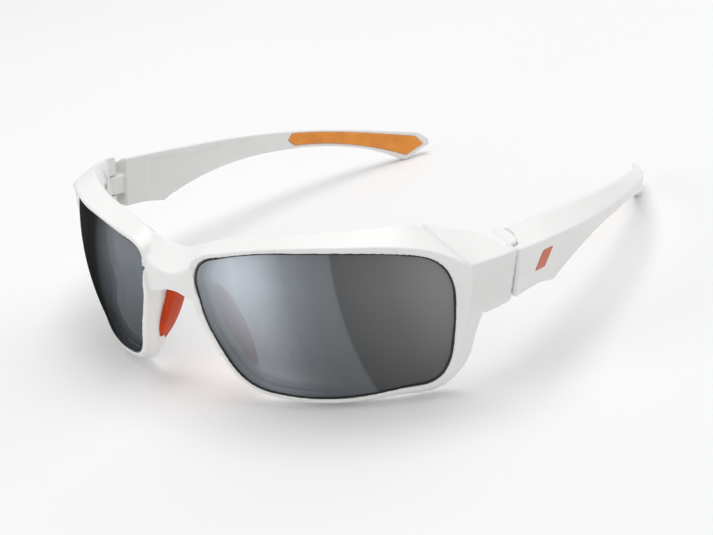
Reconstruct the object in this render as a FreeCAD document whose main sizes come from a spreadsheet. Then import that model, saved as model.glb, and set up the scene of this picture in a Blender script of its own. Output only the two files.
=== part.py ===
"""Wraparound sport sunglasses: full-rim wrap front, two dished lenses, two folding temples.

Every piece is modelled as it sits on a face (the wearing frame: +X to the wearer's left, +Y to the
back of the head, +Z up, bridge near the origin), in millimetres. The last step pitches the whole
assembly back about X until the lower rims and the temple tips stand on the same plane, Z = 0.
"""
import FreeCAD, Part
import math
import os

V = FreeCAD.Vector
doc = FreeCAD.newDocument("sport_sunglasses")

# ---------------------------------------------------------------- driving dimensions
DIMENSIONS = [
    ("lens_radius", 69.6, "front sphere of each lens, close to an 8 base curve"),
    ("lens_centre_side", 5.5, "sphere centre, sideways from the middle"),
    ("lens_centre_back", 55.5, "sphere centre, behind the bridge"),
    ("lens_centre_height", -1.0, "sphere centre, height"),
    ("lens_thickness", 2.0, "lens, front to back"),
    ("lens_tuck", 0.6, "how far the lens edge sits inside its groove"),
    ("groove_clearance", 0.06, "free space between lens and groove"),
    ("rear_lip", 0.95, "how far the rim reaches in behind the lens"),
    ("hinge_side", 66.4, "hinge axis, sideways"),
    ("hinge_back", 26.0, "hinge axis, behind the bridge"),
    ("knuckle_radius", 2.6, "rounding of the hinge knuckles"),
    ("knuckle_clearance", 0.3, "gap round a knuckle"),
    ("knuckle_top", 9.0, "highest point of the upper knuckle, before its sloped top"),
    ("knuckle_bottom", -6.3, "underside of the lower knuckle"),
    ("tongue_top", 2.8, "top of the temple's tongue"),
    ("tongue_bottom", -2.3, "underside of the temple's tongue"),
    ("tongue_clearance", 0.3, "gap above and below the tongue"),
    ("butt_plane", 24.4, "where temple and front meet on the outside"),
    ("butt_gap", 0.3, "gap at that seam"),
    ("cheek_inside", 69.35, "inner wall of the temple's outer cheek"),
    ("screw_radius", 0.7, "hinge screw shank"),
    ("screw_clearance", 0.04, "tongue bore over screw, on radius"),
    ("screw_head_radius", 1.25, "hinge screw head"),
    ("screw_head_height", 0.7, "hinge screw head"),
    ("screw_slot_width", 0.35, "driver slot"),
    ("screw_slot_depth", 0.3, "driver slot"),
    ("screw_tip", 5.2, "height of the screw's end, inside the upper knuckle"),
    ("grip_sink", 0.9, "depth of the temple grip in its pocket"),
    ("grip_proud", 0.25, "how far the grip stands out of the temple"),
    ("panel_depth", 0.55, "recess inside the temple"),
    ("pad_thickness", 2.1, "nose pad blade"),
    ("badge_depth", 0.3, "side badge, depth"),
    ("badge_proud", 0.06, "side badge, how far it stands out"),
    ("rest_pitch", 12.65, "pitch from the wearing frame to the table, degrees"),
    ("rest_back", -58.94, "shift that centres the footprint, front to back"),
    ("rest_height", 34.11, "shift that stands the assembly on Z = 0"),
]

sheet = doc.addObject("Spreadsheet::Sheet", "dimensions")
for row, (name, value, note) in enumerate(DIMENSIONS, start=1):
    sheet.set(f"A{row}", name)
    sheet.set(f"B{row}", str(value))
    sheet.set(f"C{row}", note)
    sheet.setAlias(f"B{row}", name)
doc.recompute()


def dim(name):
    return float(sheet.get(name))


LENS_R = dim("lens_radius")
LENS_C = V(dim("lens_centre_side"), dim("lens_centre_back"), dim("lens_centre_height"))
LENS_T = dim("lens_thickness")
HINGE = V(dim("hinge_side"), dim("hinge_back"), 0)
KNUCKLE_R = dim("knuckle_radius")
BUTT_Y = dim("butt_plane")

# ---------------------------------------------------------------- small helpers


def polygon(points):
    return Part.makePolygon(list(points) + [points[0]])


def spline(points, periodic=False):
    curve = Part.BSplineCurve()
    curve.interpolate(points, PeriodicFlag=periodic)
    return curve


def prism(wire, direction):
    return Part.Face(wire).extrude(direction)


def loft(sections, ruled=False, closed=False):
    return Part.makeLoft(sections, True, ruled, closed)


def mirrored(shape):
    return shape.mirror(V(0, 0, 0), V(1, 0, 0))


def box(low, high):
    size = high - low
    return Part.makeBox(size.x, size.y, size.z, low)


def column(radius, low, high, centre=HINGE):
    return Part.makeCylinder(radius, high - low, V(centre.x, centre.y, low), V(0, 0, 1))


# ---------------------------------------------------------------- lens outline and rim stations
# Seen from the front: (x, z) of the visible lens edge, from the upper nose corner over the top.
LENS_EDGE = [
    (8.7, -2.8), (10.6, -0.1), (15.5, 1.5), (24.5, 3.4), (34.5, 4.4), (44.5, 4.9), (53.5, 4.7),
    (58.6, 3.0), (60.9, -1.0), (61.4, -7.5), (60.6, -15.0), (58.8, -22.0), (56.2, -26.0),
    (51.0, -27.9), (43.0, -30.3), (34.0, -31.7), (26.0, -31.6), (20.0, -30.4), (16.6, -27.6),
    (13.6, -21.8), (11.0, -15.8), (9.4, -9.5),
]
# Rim section at each station, as (outward, forward) from the lens edge: front ridge, outer edge,
# rear outer edge and rear inner edge. The brow is tall, the cheek side deep, the rest slender.
RIM = [
    ((1.4, 1.2), (3.0, -3.0), (2.4, -5.4), -4.6),
    ((1.2, 1.1), (3.4, -3.4), (2.4, -5.6), -4.6),
    ((1.0, 0.9), (3.7, -3.8), (2.4, -5.6), -4.6),
    ((0.9, 1.0), (3.6, -4.3), (1.8, -6.0), -4.6),
    ((1.2, 1.0), (4.0, -4.2), (1.8, -6.2), -4.6),
    ((1.4, 1.0), (4.6, -4.1), (1.8, -6.4), -4.6),
    ((1.5, 1.1), (6.1, -4.0), (1.8, -6.6), -4.8),
    ((2.0, 1.9), (6.6, -4.4), (2.0, -7.0), -5.0),
    ((3.9, 3.6), (7.4, -1.0), (4.6, -6.6), -5.0),
    ((2.4, 2.7), (7.0, 0.6), (4.6, -5.4), -4.8),
    ((1.8, 1.9), (5.2, -0.2), (3.6, -4.8), -4.4),
    ((1.5, 1.2), (5.0, -1.4), (3.3, -4.6), -4.0),
    ((1.4, 0.9), (4.8, -1.9), (3.2, -4.4), -3.9),
    ((1.2, 0.7), (4.3, -2.0), (2.9, -4.3), -3.8),
    ((1.1, 0.6), (3.8, -2.0), (2.6, -4.3), -3.8),
    ((1.1, 0.6), (3.8, -2.0), (2.6, -4.3), -3.8),
    ((1.1, 0.6), (3.8, -2.0), (2.6, -4.3), -3.8),
    ((1.1, 0.5), (3.3, -2.0), (2.3, -4.5), -3.9),
    ((1.2, 0.6), (3.5, -2.0), (2.5, -4.8), -4.0),
    ((1.2, 0.6), (3.5, -1.6), (2.6, -4.3), -4.0),
    ((1.3, 0.7), (3.5, -1.6), (2.6, -4.3), -4.0),
    ((1.5, 0.9), (3.5, -2.0), (2.7, -4.8), -4.3),
]
RIM_FRONT_LIFT = 0.55  # how far the rim's inner front edge stands ahead of the lens


def on_lens(x, z):
    """Point of the lens's front sphere at that place in the front view."""
    drop = LENS_R ** 2 - (x - LENS_C.x) ** 2 - (z - LENS_C.z) ** 2
    return V(x, LENS_C.y - math.sqrt(drop), z)


edge_points = [on_lens(x, z) for x, z in LENS_EDGE]


def station_axes(index):
    """Origin, outward and forward directions of the rim section at a lens station."""
    here = edge_points[index]
    forward = (here - LENS_C).normalize()
    before = edge_points[index - 1]
    after = edge_points[(index + 1) % len(edge_points)]
    outward = (after - before).cross(forward)
    outward.normalize()
    return here, outward * -1, forward


def offset_edge(distance):
    """The lens edge moved outward along the sphere."""
    found = []
    for index in range(len(edge_points)):
        here, outward, forward = station_axes(index)
        found.append(here + outward * distance)
    return found


def lens_cone(distance):
    """Solid cone from near the sphere centre through the lens edge moved outward by distance."""
    points = offset_edge(distance)
    middle = V(0, 0, 0)
    for p in points:
        middle += p
    aim = (middle * (1.0 / len(points)) - LENS_C).normalize()
    rings = []
    for reach in (0.35 * LENS_R, 1.25 * LENS_R):
        flat = [LENS_C + (p - LENS_C) * (reach / (p - LENS_C).dot(aim)) for p in points]
        rings.append(Part.Wire(spline(flat, True).toShape()))
    return loft(rings, ruled=True)


def lens_shell(grow):
    """Spherical shell of the lens's thickness, grown on both faces."""
    outer = Part.makeSphere(LENS_R + grow, LENS_C)
    return outer.cut(Part.makeSphere(LENS_R - LENS_T - grow, LENS_C))


# ---------------------------------------------------------------- front frame


def rim_ring():
    sections = []
    for index, (ridge, outer, rear, lip_depth) in enumerate(RIM):
        here, outward, forward = station_axes(index)
        corners = [(-0.02, RIM_FRONT_LIFT), ridge, outer, rear, (-dim("rear_lip"), lip_depth)]
        sections.append(polygon([here + outward * n + forward * m for n, m in corners]))
    return loft(sections, closed=True)


def bridge():
    """The saddle between the lenses, from the middle plane into the rim's nose corner."""
    sections = [
        [V(0, -13.4, -9.3), V(0, -15.0, -4.6), V(0, -9.6, 1.1), V(0, -7.6, -1.5), V(0, -8.4, -8.2)],
        [V(3, -13.6, -9.6), V(3, -15.1, -4.2), V(3, -9.8, 1.5), V(3, -8.0, -1.3), V(3, -8.6, -8.6)],
        [V(6.4, -13.4, -10.6), V(6.4, -14.9, -2.8), V(6.4, -10.2, 2.6), V(6.4, -8.5, 0.0),
         V(6.4, -8.8, -9.8)],
        [V(10.6, -12.6, -6.0), V(10.6, -14.2, 0.4), V(10.6, -10.4, 3.6), V(10.6, -8.9, 1.6),
         V(10.6, -9.4, -4.6)],
    ]
    return loft([polygon(s) for s in sections])


def endpiece():
    """The block that carries each rim back to the hinge."""
    outlines = [
        (14.1, 0.2, [(57.0, -9.5), (64.6, -9.5), (66.3, 2.6), (53.4, 10.9), (50.5, 7.0)]),
        (19.0, 0.1, [(60.4, -9.0), (67.2, -9.0), (69.1, 3.8), (58.4, 8.9), (56.5, 5.0)]),
        (BUTT_Y, 0.0, [(63.8, -7.2), (69.6, -7.0), (71.0, 4.9), (65.0, 8.2), (63.8, 7.4)]),
    ]
    sections = []
    for y, lean, corners in outlines:
        sections.append([V(x, y - lean * z, z) for x, z in corners])
    return loft([polygon(s) for s in sections])


def knuckles():
    """Two lugs on the front that hold the hinge screw, one above and one below the tongue."""
    gap = dim("tongue_clearance")
    spans = [
        (dim("tongue_top") + gap, dim("knuckle_top")),
        (dim("knuckle_bottom"), dim("tongue_bottom") - gap),
    ]
    slope = [V(60, BUTT_Y - 4, 10.4), V(72, BUTT_Y - 4, 4.4), V(72, BUTT_Y - 4, 20),
             V(60, BUTT_Y - 4, 20)]
    above = prism(polygon(slope), V(0, 12, 0))
    lugs = []
    for low, high in spans:
        lug = column(KNUCKLE_R, low, high)
        root = box(V(HINGE.x - KNUCKLE_R, BUTT_Y - 1.2, low), V(HINGE.x + KNUCKLE_R, HINGE.y, high))
        lugs.append(lug.fuse(root).cut(above))
    return lugs


def tongue_slot():
    """Space in the front that the temple's tongue turns in."""
    gap = dim("tongue_clearance")
    low = dim("tongue_bottom") - gap
    high = dim("tongue_top") + gap
    reach = KNUCKLE_R + dim("knuckle_clearance")
    turn = column(reach, low, high)
    inward = box(V(HINGE.x - 8, HINGE.y - reach, low), V(HINGE.x, HINGE.y + 8, high))
    back = box(V(HINGE.x - 8, HINGE.y, low), V(HINGE.x + reach, HINGE.y + 8, high))
    return turn.fuse([inward, back])


def screw_hole():
    shank = column(dim("screw_radius"), dim("knuckle_bottom") - 1, dim("screw_tip"))
    seat = dim("knuckle_bottom") + dim("screw_head_height")
    head = column(dim("screw_head_radius"), dim("knuckle_bottom") - 2, seat)
    return shank.fuse(head)


def front_frame_shape():
    half = rim_ring().fuse([bridge(), endpiece()] + knuckles())
    half = half.cut(lens_cone(-dim("rear_lip")))
    tuck = dim("lens_tuck") + dim("groove_clearance")
    groove = lens_shell(dim("groove_clearance")).common(lens_cone(tuck))
    half = half.cut(groove)
    seen = lens_cone(-0.02).cut(Part.makeSphere(LENS_R + dim("groove_clearance"), LENS_C))
    half = half.cut(seen)
    half = half.cut(tongue_slot()).cut(screw_hole())
    whole = half.fuse(mirrored(half))
    return whole


def lens_shape():
    return lens_shell(0).common(lens_cone(dim("lens_tuck")))


# ---------------------------------------------------------------- temple (left, x > 0)
TEMPLE_TIP_Y = 140.0


def inner_x(y):
    """Plan curve of the temple's inner face: almost straight, then hooking in behind the ear."""
    along = y - HINGE.y - 1.0
    return 63.3 - 0.04 * along - 1.63e-5 * max(along, 0.0) ** 3


def wall(y):
    """Temple thickness, from the hinge to the tip."""
    ends = [(24.0, 7.7), (46.0, 6.0), (70.0, 4.9), (90.0, 4.1), (112.0, 3.5), (141.0, 3.1)]
    for (y0, w0), (y1, w1) in zip(ends, ends[1:]):
        if y <= y1:
            return w0 + (w1 - w0) * (y - y0) / (y1 - y0)
    return ends[-1][1]


PLAN_Y = [BUTT_Y, 34.0, 46.0, 58.0, 70.0, 82.0, 94.0, 106.0, 118.0, 130.0, TEMPLE_TIP_Y]


def plan_band(inner_offset, outer_offset, low=-20.0, high=20.0, first_y=BUTT_Y):
    """Upright band that follows the temple's plan curve between two offset functions."""
    ys = [first_y] + [y for y in PLAN_Y if y > first_y + 2]
    inner = [V(inner_x(y) + inner_offset(y), y, low) for y in ys]
    outer = [V(inner_x(y) + outer_offset(y), y, low) for y in ys]
    edges = [
        spline(inner).toShape(),
        Part.makeLine(inner[-1], outer[-1]),
        spline(outer[::-1]).toShape(),
        Part.makeLine(outer[0], inner[0]),
    ]
    return prism(Part.Wire(edges), V(0, 0, high - low))


def side_prism(edges):
    """Prism along X of an outline drawn in the side view."""
    return prism(Part.Wire(edges), V(60, 0, 0))


def side(points, x=25.0):
    return [V(x, y, z) for y, z in points]


def temple_outline():
    top = side([(137.0, 1.2), (134.4, 3.1), (116.0, 5.3), (102.0, 6.7), (88.0, 7.5), (70.0, 7.9),
                (46.0, 7.8), (BUTT_Y, 7.5)])
    tip = side([(130.6, -5.6), (137.6, -0.9), (137.0, 1.2)])
    belly = side([(44.4, -6.9), (51.0, -4.3), (60.0, -1.7), (74.0, 0.9), (90.0, 1.8), (106.0, 1.1),
                  (122.0, -2.1), (130.6, -5.6)])
    skirt = side([(BUTT_Y, -6.3), (37.0, -5.9), (44.4, -6.9)])
    return [
        spline(top[1:]).toShape(),
        Part.makeLine(top[-1], skirt[0]),
        Part.makeLine(skirt[0], skirt[1]),
        Part.makeLine(skirt[1], skirt[2]),
        spline(belly).toShape(),
        Part.makeLine(tip[0], tip[1]),
        Part.makeLine(tip[1], tip[2]),
        Part.makeLine(tip[2], top[1]),
    ]


# Side view heights of the outer ridge and of the top edge it slopes up to.
RIDGE = [(20.0, 5.1, 7.6), (40.0, 4.0, 7.8), (60.0, 3.7, 7.9), (80.0, 4.1, 7.7), (100.0, 4.3, 6.9),
         (120.0, 3.0, 4.9), (142.0, -0.4, 1.6)]


def top_bevel():
    """Material above the sloping top face of the temple."""
    sections = []
    for y, ridge_z, top_z in RIDGE:
        inside = V(inner_x(y) + 1.2, y, top_z)
        outside = V(inner_x(y) + wall(y), y, ridge_z)
        run = outside - inside
        sections.append(polygon([
            inside - run * 1.5, outside + run * 1.5, outside + run * 1.5 + V(0, 0, 20),
            inside - run * 1.5 + V(0, 0, 20),
        ]))
    return loft(sections)


def belly_bevel():
    """Material below the rounded lower outer edge of the temple, deeper towards the hinge."""
    sections = []
    for y, lift in ((20.0, 1.1), (46.0, 1.2), (60.0, 0.9), (90.0, 0.8), (142.0, 0.7)):
        x = inner_x(y) + wall(y)
        sections.append(polygon([
            V(x + 2, y, -2.6), V(x, y, -2.6), V(x - lift, y, -20), V(x + 2, y, -20),
        ]))
    return loft(sections)


def knuckle_pocket():
    """Space round the front's knuckles, cut out of the temple's front end."""
    reach = KNUCKLE_R + dim("knuckle_clearance")
    inside = box(V(50, BUTT_Y - 5, -20), V(dim("cheek_inside"), HINGE.y, 20))
    corner = box(V(50, BUTT_Y - 5, -20), V(HINGE.x, HINGE.y + reach + 1.4, 20))
    return column(reach, -20, 20).fuse([inside, corner])


def tongue():
    low, high = dim("tongue_bottom"), dim("tongue_top")
    stem = box(V(HINGE.x - KNUCKLE_R, HINGE.y, low), V(HINGE.x + KNUCKLE_R, HINGE.y + 7, high))
    return column(KNUCKLE_R, low, high).fuse(stem)


def grip_outline():
    upper = side([(92.6, 6.5), (104.0, 5.8), (118.0, 4.1), (133.3, 1.9)])
    lower = side([(130.6, -3.9), (121.0, -0.7), (108.0, 1.9), (93.4, 2.9)])
    return [
        spline(upper).toShape(),
        Part.makePolygon([upper[-1]] + side([(135.6, -0.6)]) + [lower[0]]),
        spline(lower).toShape(),
        Part.makePolygon([lower[-1]] + side([(91.2, 4.6)]) + [upper[0]]),
    ]


def wire_of(parts):
    edges = []
    for item in parts:
        edges.extend(item.Edges)
    return Part.Wire(Part.__sortEdges__(edges))


def grip_prism():
    return prism(wire_of(grip_outline()), V(60, 0, 0))


def panel_recess():
    """Shallow recess in the temple's inner face, fading out towards the ear."""
    fade_end = 88.0
    start = 38.6

    def floor(y):
        share = min(max((fade_end - y) / (fade_end - start), 0.0), 1.0)
        return dim("panel_depth") * share

    border = side([(start, -12.0), (start, 4.4), (39.6, 5.7), (41.6, 6.3), (60.0, 6.5),
                   (fade_end, 5.9), (fade_end, -12.0)])
    outline = prism(polygon(border), V(60, 0, 0))
    return outline.common(plan_band(lambda y: -2.0, floor))


def temple_shape():
    blank = prism(wire_of(temple_outline()), V(60, 0, 0))
    body = blank.common(plan_band(lambda y: 0.0, wall))
    body = body.cut(top_bevel()).cut(belly_bevel())
    front_face = box(V(40, 0, -20), V(90, BUTT_Y + dim("butt_gap"), 20))
    body = body.cut(front_face).cut(knuckle_pocket()).fuse(tongue())
    bore = column(dim("screw_radius") + dim("screw_clearance"), -20, 20)
    body = body.cut(bore).cut(panel_recess())
    pocket = grip_prism().common(plan_band(lambda y: -2.0, lambda y: dim("grip_sink")))
    return body.cut(pocket).cut(badge_blank(1.0))


def grip_shape():
    proud = dim("grip_proud")
    return grip_prism().common(plan_band(lambda y: -proud, lambda y: dim("grip_sink")))


def badge_blank(proud):
    """A plain slanted bar let into the temple's outer face."""
    corners = side([(33.4, -2.2), (38.4, -2.2), (42.6, 1.7), (37.6, 1.7)], x=45.0)
    skin = plan_band(lambda y: wall(y) - dim("badge_depth"), lambda y: wall(y) + proud)
    return prism(polygon(corners), V(60, 0, 0)).common(skin)


# ---------------------------------------------------------------- nose pad (left)


def nose_pad_shape(frame):
    """Soft blade behind the rim's nose side, splayed outward towards its foot."""
    half_thick = dim("pad_thickness") / 2
    rows = [
        (-8.8, V(5.0, -8.6), V(6.4, -4.4)), (-12.0, V(5.8, -8.9), V(8.0, -2.0)),
        (-16.0, V(7.3, -8.9), V(10.0, -0.9)), (-20.0, V(9.2, -8.6), V(12.2, -0.6)),
        (-24.0, V(11.4, -8.2), V(14.6, -1.0)), (-26.8, V(13.2, -7.6), V(16.2, -2.4)),
        (-28.6, V(14.6, -6.8), V(16.6, -4.4)),
    ]
    sections = []
    for z, front, rear in rows:
        middle = (front + rear) * 0.5
        half = (rear - front) * 0.5
        across = V(half.y, -half.x, 0).normalize() * half_thick
        ring = []
        for k in range(12):
            turn = 2 * math.pi * k / 12
            along = math.copysign(abs(math.cos(turn)) ** 0.8, math.cos(turn))
            over = math.copysign(abs(math.sin(turn)) ** 0.8, math.sin(turn))
            ring.append(middle + half * along + across * over + V(0, 0, z))
        sections.append(Part.Wire(spline(ring, True).toShape()))
    pieces = loft(sections).cut(frame).Solids
    return max(pieces, key=lambda solid: solid.Volume)


# ---------------------------------------------------------------- assembly


def rest_placement():
    turn = FreeCAD.Rotation(V(1, 0, 0), -dim("rest_pitch"))
    return FreeCAD.Placement(V(0, dim("rest_back"), dim("rest_height")), turn)


REST = rest_placement()
parts = []


def add_feature(label, shape):
    item = doc.addObject("Part::Feature", label)
    item.Label = label
    item.Shape = shape
    item.Placement = REST
    parts.append(item)


def add_screw(label, side_sign):
    """Slotted hinge screw as a PartDesign body, standing on its head under the lower knuckle."""
    body = doc.addObject("PartDesign::Body", label)
    body.Label = label
    origin = {o.Role: o for o in body.Origin.OriginFeatures}

    def disc(name, radius_cell):
        sketch = body.newObject("Sketcher::SketchObject", label + name)
        sketch.AttachmentSupport = [(origin["XY_Plane"], "")]
        sketch.MapMode = "FlatFace"
        sketch.addGeometry(Part.Circle(V(0, 0, 0), V(0, 0, 1), 1.0), False)
        import Sketcher
        sketch.addConstraint(Sketcher.Constraint("Coincident", 0, 3, -1, 1))
        sketch.addConstraint(Sketcher.Constraint("Radius", 0, 1.0))
        sketch.setExpression("Constraints[1]", "dimensions." + radius_cell)
        return sketch

    head = body.newObject("PartDesign::Pad", label + "_head")
    head.Profile = disc("_head_sketch", "screw_head_radius")
    head.setExpression("Length", "dimensions.screw_head_height")
    shank = body.newObject("PartDesign::Pad", label + "_shank")
    shank.Profile = disc("_shank_sketch", "screw_radius")
    shank.setExpression("Length", "dimensions.screw_tip - dimensions.knuckle_bottom")
    doc.recompute()
    slot_sketch = body.newObject("Sketcher::SketchObject", label + "_slot_sketch")
    slot_sketch.AttachmentSupport = [(origin["XY_Plane"], "")]
    slot_sketch.MapMode = "FlatFace"
    half_width = dim("screw_slot_width") / 2
    reach = dim("screw_head_radius") + 0.5
    corners = [V(-reach, -half_width, 0), V(reach, -half_width, 0), V(reach, half_width, 0),
               V(-reach, half_width, 0)]
    for a, b in zip(corners, corners[1:] + corners[:1]):
        slot_sketch.addGeometry(Part.LineSegment(a, b), False)
    slot = body.newObject("PartDesign::Pocket", label + "_slot")
    slot.Profile = slot_sketch
    slot.Reversed = True
    slot.setExpression("Length", "dimensions.screw_slot_depth")
    doc.recompute()
    body.Tip = slot
    foot = V(side_sign * HINGE.x, HINGE.y, dim("knuckle_bottom"))
    body.Placement = REST.multiply(FreeCAD.Placement(foot, FreeCAD.Rotation()))
    parts.append(body)
    return body


frame = front_frame_shape()
lens = lens_shape()
temple = temple_shape()
grip = grip_shape()
badge = badge_blank(dim("badge_proud"))
pad = nose_pad_shape(frame)

add_feature("front_frame", frame)
for name, shape in (("lens", lens), ("nose_pad", pad), ("temple", temple),
                    ("temple_grip", grip), ("temple_badge", badge)):
    add_feature(name + "_left", shape)
    add_feature(name + "_right", mirrored(shape))
add_screw("hinge_screw_left", 1)
add_screw("hinge_screw_right", -1)
doc.recompute()

# ---------------------------------------------------------------- checks and export
for item in doc.Objects:
    if "Invalid" in item.State or "Error" in item.State:
        raise RuntimeError(f"{item.Label} did not build: {item.State}")
os.makedirs("parts", exist_ok=True)
for item in parts:
    shape = item.Shape
    if shape.isNull() or not shape.isValid():
        raise RuntimeError(f"{item.Label} has no valid shape")
    found = shape.optimalBoundingBox(False)
    print(f"{item.Label:20s} solids {len(shape.Solids)} volume {shape.Volume:9.2f} "
          f"x {found.XMin:7.2f} {found.XMax:7.2f} y {found.YMin:7.2f} {found.YMax:7.2f} "
          f"z {found.ZMin:7.2f} {found.ZMax:7.2f}")
    shape.exportStep(f"parts/{item.Label}.step")
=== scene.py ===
"""Looks of the wraparound sport sunglasses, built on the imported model. Metres, row frame."""

import math

import bpy
import numpy as np
from mathutils import Matrix, Vector


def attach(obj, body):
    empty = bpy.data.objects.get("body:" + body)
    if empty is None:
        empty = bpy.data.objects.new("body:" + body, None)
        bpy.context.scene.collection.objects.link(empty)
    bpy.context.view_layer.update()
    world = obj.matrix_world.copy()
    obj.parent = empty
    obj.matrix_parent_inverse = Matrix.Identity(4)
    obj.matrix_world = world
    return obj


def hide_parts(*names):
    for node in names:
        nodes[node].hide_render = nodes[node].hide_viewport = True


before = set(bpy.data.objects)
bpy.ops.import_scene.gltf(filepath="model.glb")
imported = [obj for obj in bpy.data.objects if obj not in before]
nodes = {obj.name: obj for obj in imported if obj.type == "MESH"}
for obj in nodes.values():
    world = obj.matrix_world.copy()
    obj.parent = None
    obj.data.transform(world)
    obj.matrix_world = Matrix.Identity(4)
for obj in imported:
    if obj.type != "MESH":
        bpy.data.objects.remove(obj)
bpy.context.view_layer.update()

# ---------------------------------------------------------------- where the wearing frame sits
PITCH = math.radians(12.65)
REST = Matrix.Translation((0, -0.05894, 0.03411)) @ Matrix.Rotation(-PITCH, 4, "X")


def worn(x, y, z):
    """A point given in millimetres in the wearing frame, as a row-frame point in metres."""
    return REST @ Vector((x / 1000, y / 1000, z / 1000))


# ---------------------------------------------------------------- material helpers


class Nodes:
    """Small wrapper that adds and links shader nodes."""

    def __init__(self, name):
        self.material = bpy.data.materials.new(name)
        self.material.use_nodes = True
        self.tree = self.material.node_tree
        self.tree.nodes.clear()
        self.output = self.add("ShaderNodeOutputMaterial")

    def add(self, kind, inputs=None, **settings):
        node = self.tree.nodes.new(kind)
        for key, value in settings.items():
            setattr(node, key, value)
        for key, value in (inputs or {}).items():
            if isinstance(value, bpy.types.NodeSocket):
                self.tree.links.new(value, node.inputs[key])
            else:
                node.inputs[key].default_value = value
        return node

    def coords(self):
        return self.add("ShaderNodeTexCoord").outputs["Object"]

    def noise(self, scale, detail=3.0, roughness=0.5, vector=None):
        vector = vector or self.coords()
        return self.add("ShaderNodeTexNoise", {
            "Vector": vector, "Scale": scale, "Detail": detail, "Roughness": roughness,
        }).outputs["Fac"]

    def ramp(self, value, stops, interpolation="EASE"):
        node = self.add("ShaderNodeValToRGB", {"Fac": value})
        node.color_ramp.interpolation = interpolation
        while len(node.color_ramp.elements) < len(stops):
            node.color_ramp.elements.new(0.5)
        for element, (place, colour) in zip(node.color_ramp.elements, stops):
            element.position = place
            element.color = colour
        return node.outputs["Color"]

    def span(self, value, low, high):
        """value from 0..1 spread over low..high."""
        return self.add("ShaderNodeMapRange", {
            "Value": value, "To Min": low, "To Max": high,
        }).outputs["Result"]

    def bump(self, height, strength, distance, normal=None):
        inputs = {"Height": height, "Strength": strength, "Distance": distance}
        if normal is not None:
            inputs["Normal"] = normal
        return self.add("ShaderNodeBump", inputs).outputs["Normal"]

    def finish(self, shader):
        self.tree.links.new(shader, self.output.inputs["Surface"])
        return self.material


def grey(value, alpha=1.0):
    return (value, value, value, alpha)


def white_shell():
    """Satin white nylon: faint colour drift, fine mould texture."""
    m = Nodes("shell_white")
    drift = m.ramp(m.noise(60.0, 3.0), [(0.3, (0.84, 0.84, 0.83, 1)), (0.7, (0.875, 0.875, 0.865, 1))])
    rough = m.span(m.noise(900.0, 4.0), 0.30, 0.42)
    fine = m.bump(m.noise(5200.0, 2.0), 0.10, 0.00004)
    soft = m.bump(m.noise(180.0, 2.0), 0.12, 0.00010, fine)
    shader = m.add("ShaderNodeBsdfPrincipled", {
        "Base Color": drift, "Roughness": rough, "Normal": soft, "Specular IOR Level": 0.42,
        "Coat Weight": 0.12, "Coat Roughness": 0.18, "Subsurface Weight": 0.06,
        "Subsurface Radius": (0.0012, 0.0011, 0.001),
    })
    return m.finish(shader.outputs["BSDF"])


def rubber(name, dark, light, roughness=(0.42, 0.62), gloss=0.4):
    """Soft elastomer: mottled colour, pebbled surface."""
    m = Nodes(name)
    colour = m.ramp(m.noise(140.0, 4.0), [(0.3, dark), (0.72, light)])
    rough = m.span(m.noise(700.0, 3.0), *roughness)
    pebble = m.add("ShaderNodeTexVoronoi", {"Vector": m.coords(), "Scale": 2600.0}).outputs["Distance"]
    normal = m.bump(pebble, 0.16, 0.00006)
    shader = m.add("ShaderNodeBsdfPrincipled", {
        "Base Color": colour, "Roughness": rough, "Normal": normal, "Specular IOR Level": gloss,
        "Subsurface Weight": 0.08, "Subsurface Radius": (0.002, 0.0008, 0.0004),
    })
    return m.finish(shader.outputs["BSDF"])


def steel():
    m = Nodes("screw_steel")
    tone = m.ramp(m.noise(2500.0, 3.0), [(0.3, grey(0.42)), (0.7, grey(0.6))])
    rough = m.span(m.noise(3800.0, 2.0), 0.2, 0.36)
    normal = m.bump(m.noise(6000.0, 2.0), 0.1, 0.00003)
    shader = m.add("ShaderNodeBsdfPrincipled", {
        "Base Color": tone, "Metallic": 1.0, "Roughness": rough, "Normal": normal,
    })
    return m.finish(shader.outputs["BSDF"])


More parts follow.
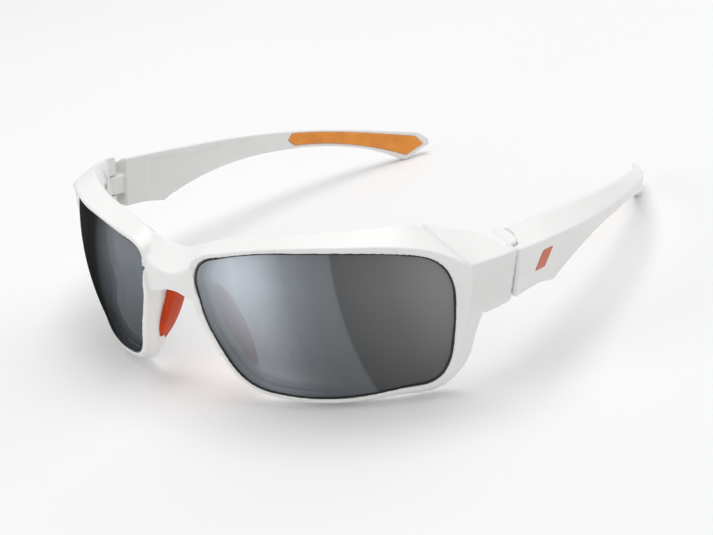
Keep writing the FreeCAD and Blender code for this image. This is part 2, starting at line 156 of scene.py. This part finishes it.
def lens_glass(name, side, tint_and_painted_reflection_bands, gloss, coat, densest):
    """Smoke tint under a silver flash coat whose reflections are painted on, in upright bands that lean a
    little outward below.
    """
    m = Nodes(name)
    spot = m.coords()
    across = m.add("ShaderNodeVectorMath", {0: spot, 1: (1000.0 * side, 0, 0)}, operation="DOT_PRODUCT")
    height = m.add("ShaderNodeVectorMath", {0: spot, 1: tuple(WORN_UP * 1000)}, operation="DOT_PRODUCT")
    lean = m.add("ShaderNodeMath", {0: height.outputs["Value"], 1: LEAN, 2: across.outputs["Value"]},
                 operation="MULTIPLY_ADD").outputs[0]
    # the share of the way from the nose edge to the temple edge
    share = m.add("ShaderNodeMapRange", {
        "Value": lean, "From Min": NOSE_EDGE + LEVEL, "From Max": NOSE_EDGE + LENS_REACH + LEVEL,
        "To Min": 0.0, "To Max": 1.0}).outputs["Result"]
    stops = [((x - NOSE_EDGE) / LENS_REACH, (v * cold, v * (1 + cold) / 2, v, 1))
             for x, v, cold in tint_and_painted_reflection_bands]
    tint_and_painted_reflection = m.ramp(share, stops, "LINEAR")
    # the tint and its painted reflection fade towards the foot of the lens, less so in the dark outer band
    low = m.add("ShaderNodeMapRange", {"Value": height.outputs["Value"], "From Min": -22.0 + RISE,
                "From Max": -4.0 + RISE, "To Min": 0.37, "To Max": 1.0}).outputs["Result"]
    outer = m.add("ShaderNodeMapRange", {"Value": share, "From Min": 0.36, "From Max": 0.56,
                  "To Min": 0.0, "To Max": 0.55}).outputs["Result"]
    fade = m.add("ShaderNodeMix", {"Factor": outer, "A": low, "B": 1.0}, data_type="FLOAT")
    mottle = m.span(m.noise(30.0, 2.0), 0.94, 1.05)
    gain = m.add("ShaderNodeMath", {0: fade.outputs["Result"], 1: mottle}, operation="MULTIPLY").outputs[0]
    tone = m.add("ShaderNodeVectorMath", {0: tint_and_painted_reflection, "Scale": gain}, operation="SCALE").outputs["Vector"]
    normal = m.bump(m.noise(22.0, 1.0), 0.02, 0.0001)
    body = m.add("ShaderNodeBsdfPrincipled", {
        "Base Color": tone, "Roughness": m.span(m.noise(400.0, 3.0), 0.05, 0.09), "Normal": normal,
        "Specular IOR Level": gloss, "Coat Weight": coat, "Coat Roughness": 0.02,
    })
    clear = m.add("ShaderNodeBsdfTransparent", {"Color": (0.9, 0.9, 0.92, 1)})
    # the coat lets most light through by the nose and almost none further out
    dense = m.add("ShaderNodeMapRange", {"Value": share, "From Min": 0.3, "From Max": 0.5,
                  "To Min": 0.66, "To Max": densest}).outputs["Result"]
    mix = m.add("ShaderNodeMixShader", {"Fac": dense, 1: clear.outputs["BSDF"], 2: body.outputs["BSDF"]})
    return m.finish(mix.outputs["Shader"])


def painted_gap_shade_material():
    """Painted shade: a dark line that stands in for the shadow in the gap where the lens meets the groove.
    """
    m = Nodes("lens_edge_dark")
    tone = m.ramp(m.noise(600.0, 2.0), [(0.3, grey(0.018)), (0.7, grey(0.035))])
    shader = m.add("ShaderNodeBsdfPrincipled", {"Base Color": tone, "Specular IOR Level": 0.3,
                   "Roughness": m.span(m.noise(900.0, 2.0), 0.25, 0.4)})
    return m.finish(shader.outputs["BSDF"])


# the wearing frame's up in the row frame, and its origin's height and lean along it in mm
WORN_UP = REST.to_3x3() @ Vector((0, 0, 1))
RISE = REST.translation.dot(WORN_UP) * 1000
LEAN = 0.165
NOSE_EDGE, LENS_REACH = 6.0, 60.0
LEVEL = LEAN * RISE
# across the lens from the nose, mm: brightness of the smoke tint with the flash coat's painted reflection,
# and its red over its blue
TINT_AND_PAINTED_REFLECTION_LEFT = [(8.0, 0.42, 0.84), (12.5, 0.62, 0.83), (18.5, 0.84, 0.83), (23.5, 0.73, 0.83),
              (31.0, 0.34, 0.83), (36.0, 0.25, 0.84), (40.9, 0.22, 0.88), (41.5, 0.12, 0.96),
              (51.0, 0.175, 0.97), (62.0, 0.3, 0.99)]
TINT_AND_PAINTED_REFLECTION_RIGHT = [(8.0, 0.22, 0.76), (16.0, 0.21, 0.76), (24.0, 0.2, 0.77), (28.0, 0.12, 0.84),
               (31.5, 0.03, 0.93), (36.0, 0.022, 0.96), (43.5, 0.03, 0.96), (52.0, 0.04, 0.97),
               (62.0, 0.045, 0.98)]

# side, bands of tint and painted reflection, gloss, clear coat, and the highest share of the coat over the
# clear lens; the right lens has no gloss, so its dark painted reflection is not covered by a real one
LENS_TINT_AND_PAINTED_REFLECTION = {"left": (1, TINT_AND_PAINTED_REFLECTION_LEFT, 0.1, 0.1, 0.9), "right": (-1, TINT_AND_PAINTED_REFLECTION_RIGHT, 0.0, 0.0, 0.985)}
SHELL = white_shell()
GRIP = rubber("grip_orange", (0.78, 0.27, 0.035, 1), (0.9, 0.34, 0.05, 1))
PAD = rubber("pad_orange_red", (0.54, 0.05, 0.006, 1), (0.66, 0.07, 0.01, 1), gloss=0.15)
# painted shade for the gap between each lens and the rim
GAP_SHADE = painted_gap_shade_material()
BADGE = rubber("badge_orange", (0.6, 0.12, 0.05, 1), (0.68, 0.16, 0.07, 1), (0.25, 0.38))
STEEL = steel()


def paint(obj, material):
    obj.data.materials.clear()
    obj.data.materials.append(material)


TOWARDS_MEAN, BACK_AGAIN = 0.6, -0.62


def relax(mesh, passes, spots):
    """Rounds edges without shrinking: each pass moves every vertex towards the mean of its
    neighbours and then slightly further back, by the weight of the spots, or all if none."""
    count = len(mesh.vertices)
    place = np.zeros(count * 3)
    mesh.vertices.foreach_get("co", place)
    place = place.reshape(-1, 3)
    edges = np.zeros(len(mesh.edges) * 2, dtype=np.int64)
    mesh.edges.foreach_get("vertices", edges)
    a, b = edges.reshape(-1, 2).T
    degree = np.maximum(np.bincount(a, minlength=count) + np.bincount(b, minlength=count), 1)
    weight = np.ones(count)
    if spots is not None:
        weight = np.zeros(count)
        for centre, radius in spots:
            away = np.linalg.norm(place - np.array(centre), axis=1) / radius
            weight = np.maximum(weight, np.clip(1.6 * (1 - away), 0, 1))
    for step in range(2 * passes):
        pull = TOWARDS_MEAN if step % 2 == 0 else BACK_AGAIN
        total = np.zeros_like(place)
        for axis in range(3):
            total[:, axis] = (np.bincount(a, place[b, axis], count)
                              + np.bincount(b, place[a, axis], count))
        place = place + (pull * weight)[:, None] * (total / degree[:, None] - place)
    mesh.vertices.foreach_set("co", place.ravel())
    mesh.update()


def rounded(node, body, voxel, smooth, material, soft_spots=(), soft_passes=0, swell=0.0):
    """A moulded copy of a CAD node: remeshed finely and relaxed, so that every edge is soft.
    Soft spots are (centre, radius) regions that are relaxed further, where faces blend.
    Swell moves the whole surface outward by that much."""
    copy = bpy.data.objects.new(node + "_skin", nodes[node].data.copy())
    bpy.context.scene.collection.objects.link(copy)
    remesh = copy.modifiers.new("remesh", "REMESH")
    remesh.mode = "VOXEL"
    remesh.voxel_size = voxel
    remesh.use_smooth_shade = True
    depsgraph = bpy.context.evaluated_depsgraph_get()
    final = bpy.data.meshes.new_from_object(copy.evaluated_get(depsgraph))
    copy.modifiers.clear()
    copy.data = final
    relax(final, smooth, None)
    if soft_spots:
        relax(final, soft_passes, soft_spots)
    if swell:
        place = np.zeros(len(final.vertices) * 3)
        out = np.zeros_like(place)
        final.vertices.foreach_get("co", place)
        final.vertices.foreach_get("normal", out)
        final.vertices.foreach_set("co", place + swell * out)
        final.update()
    for polygon in final.polygons:
        polygon.use_smooth = True
    paint(copy, material)
    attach(copy, body)
    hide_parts(node)
    return copy


FINE = 0.0003
SHELL_PASSES = 14
BLEND_PASSES = 160
# where the brow crest and the bridge blend into the rim: (centre, radius) on both sides
CRESTS = [(worn(sign * x, y, z), 0.0042) for sign in (1, -1) for x, y, z in (
    (53.8, 11.6, 10.6), (57.0, 12.2, 8.2), (60.4, 12.8, 5.8), (63.4, 13.4, 3.6))]
BRIDGE = [(worn(sign * x, y, z), radius) for sign in (1, -1) for x, y, z, radius in (
    (3.5, -14.2, -4.5, 0.005), (5.6, -14.4, -1.4, 0.0038), (5.2, -14.2, -5.6, 0.0038))]
rounded("front_frame", "front", FINE, SHELL_PASSES, SHELL,
        CRESTS + BRIDGE, BLEND_PASSES)
for side, body in (("left", "temple_left_body"), ("right", "temple_right_body")):
    rounded("temple_" + side, body, FINE, SHELL_PASSES, SHELL)
    rounded("temple_grip_" + side, body, FINE * 0.8, 8, GRIP)
    rounded("nose_pad_" + side, "front", FINE * 0.8, 24, PAD, swell=0.0003)
    paint(nodes["temple_badge_" + side], BADGE)
    paint(nodes["hinge_screw_" + side], STEEL)
    # each lens carries its tint and a painted reflection: bright bands on the left lens, a dark painted
    # reflection towards the right lens's outer edge
    paint(nodes["lens_" + side], lens_glass("lens_smoke_and_painted_reflection_" + side, *LENS_TINT_AND_PAINTED_REFLECTION[side]))
    for polygon in nodes["lens_" + side].data.polygons:
        polygon.use_smooth = True


# ---------------------------------------------------------------- painted shade line round each lens, in the gap between lens and rim
# the lens sphere's centre in the wearing frame, and the radius that the line lies on, mm
LENS_CENTRE = (5.5, 55.5, -1.0)
LINE_RADIUS, NOSE_LINE_RADIUS, NOSE_REACH = 69.75, 69.5, 12.0
LENS_EDGE = [
    (8.9, -3.0), (10.9, -0.4), (15.6, 1.4), (24.5, 3.4), (34.5, 4.4), (44.5, 4.9), (53.5, 4.7),
    (58.6, 3.0), (60.9, -1.0), (61.4, -7.5), (60.6, -15.0), (58.8, -22.0), (56.2, -26.0),
    (51.0, -27.9), (43.0, -30.3), (34.0, -31.7), (26.0, -31.6), (20.0, -30.4), (16.6, -27.6),
    (13.6, -21.8), (11.0, -15.8), (9.4, -9.5),
]


def painted_gap_shade_line(side_name, side):
    curve = bpy.data.curves.new("lens_edge_" + side_name, "CURVE")
    curve.dimensions = "3D"
    curve.bevel_depth = 0.00026
    curve.bevel_resolution = 3
    curve.resolution_u = 10
    spline = curve.splines.new("BEZIER")
    spline.bezier_points.add(len(LENS_EDGE) - 1)
    spline.use_cyclic_u = True
    for point, (x, z) in zip(spline.bezier_points, LENS_EDGE):
        # just proud of the lens, and flush with it beside the nose
        radius = NOSE_LINE_RADIUS if x < NOSE_REACH else LINE_RADIUS
        depth = math.sqrt(radius ** 2 - (x - LENS_CENTRE[0]) ** 2 - (z - LENS_CENTRE[2]) ** 2)
        point.co = worn(side * x, LENS_CENTRE[1] - depth, z)
        point.handle_left_type = point.handle_right_type = "AUTO"
    # a dark tube of painted shade lying in the gap between lens and rim
    line = bpy.data.objects.new("painted_gap_shade_line_" + side_name, curve)
    bpy.context.scene.collection.objects.link(line)
    line.data.materials.append(GAP_SHADE)
    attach(line, "front")


painted_gap_shade_line("left", 1)
painted_gap_shade_line("right", -1)

# ---------------------------------------------------------------- floor, light, camera


def floor():
    bpy.ops.mesh.primitive_plane_add(size=6.0)
    obj = bpy.context.object
    obj.name = "floor"
    m = Nodes("floor_pale")
    tone = m.ramp(m.noise(3.0, 2.0), [(0.3, grey(0.86)), (0.7, grey(0.88))])
    shader = m.add("ShaderNodeBsdfPrincipled", {"Base Color": tone, "Roughness": 0.7,
                   "Specular IOR Level": 0.2})
    paint(obj, m.finish(shader.outputs["BSDF"]))
    obj.location.z = -0.0001


LIT_POINT = (0, 0, 0.02)


def area_light(name, place, size, power):
    light = bpy.data.lights.new(name, "AREA")
    light.energy = power
    light.shape = "RECTANGLE"
    light.size = size
    light.size_y = size
    obj = bpy.data.objects.new(name, light)
    bpy.context.scene.collection.objects.link(obj)
    obj.location = place
    obj.rotation_euler = (Vector(LIT_POINT) - Vector(place)).to_track_quat("-Z", "Y").to_euler()


floor()
area_light("top", (-0.05, 0.1, 1.0), 0.7, 5.2)
area_light("key", (-0.4, -0.85, 0.5), 0.5, 1.5)
area_light("back", (0.1, 0.9, 0.4), 0.5, 0.8)

world = bpy.data.worlds.new("studio")
world.use_nodes = True
world.node_tree.nodes["Background"].inputs["Color"].default_value = (1, 1, 1, 1)
world.node_tree.nodes["Background"].inputs["Strength"].default_value = 0.58
bpy.context.scene.world = world
bpy.context.scene.view_settings.view_transform = "Standard"

# the photograph's camera: focal length in its pixels, its width, and where it stands and looks
FOCAL_PIXELS, PHOTO_WIDTH, SENSOR = 1481.2, 713, 36.0
EYE = worn(243.52, -243.88, 88.62)
AIM = worn(19.82, 30.6, -9.54)

camera = bpy.data.cameras.new("camera")
camera.sensor_fit = "HORIZONTAL"
camera.sensor_width = SENSOR
camera.lens = SENSOR * FOCAL_PIXELS / PHOTO_WIDTH
camera.clip_start = 0.01
view = bpy.data.objects.new("camera", camera)
bpy.context.scene.collection.objects.link(view)
bpy.context.scene.camera = view
forward = (AIM - EYE).normalized()
right = forward.cross(WORN_UP).normalized()
up = right.cross(forward)
view.matrix_world = Matrix.Translation(EYE) @ Matrix((
    (right.x, up.x, -forward.x, 0), (right.y, up.y, -forward.y, 0),
    (right.z, up.z, -forward.z, 0), (0, 0, 0, 1)))

bpy.context.view_layer.update()
